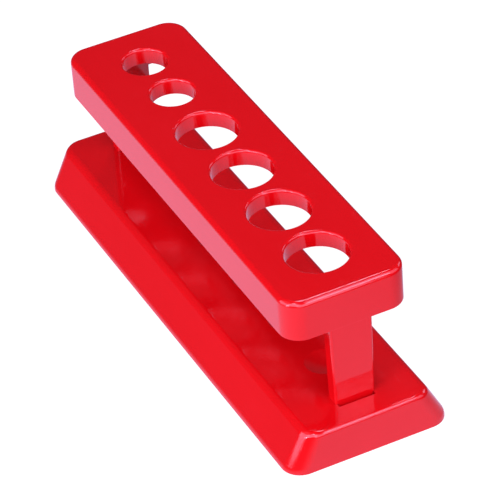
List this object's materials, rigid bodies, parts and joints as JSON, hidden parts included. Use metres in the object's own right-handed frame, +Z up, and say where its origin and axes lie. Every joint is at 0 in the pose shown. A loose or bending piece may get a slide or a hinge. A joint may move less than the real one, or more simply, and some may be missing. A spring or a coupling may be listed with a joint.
{
  "type": "test tube stand",
  "caption": "Moulded test tube stand: a flat tray with round tube holes in two widths, carried on end posts that plug into a hollow, sloped base.",
  "frame": {"origin": "on the ground under the middle of the base", "axes": "+X along the base towards the wide tube holes, +Y across it, +Z up"},
  "size_m": [0.1864, 0.0574, 0.0579],
  "materials": {
    "base_plastic": "glossy red moulded plastic",
    "rack_plastic": "glossy red moulded plastic"
  },
  "bodies": {
    "base": {"base_shell": "base_plastic", "near_post_socket": "base_plastic", "far_post_socket": "base_plastic"},
    "rack": {"tube_tray": "rack_plastic", "near_post": "rack_plastic", "far_post": "rack_plastic"}
  },
  "joints": [
    {"name": "rack_lift", "type": "slide", "parent": "base", "child": "rack", "axis": [0, 0, 1], "range_m": [0, 0.0125]}
  ]
}
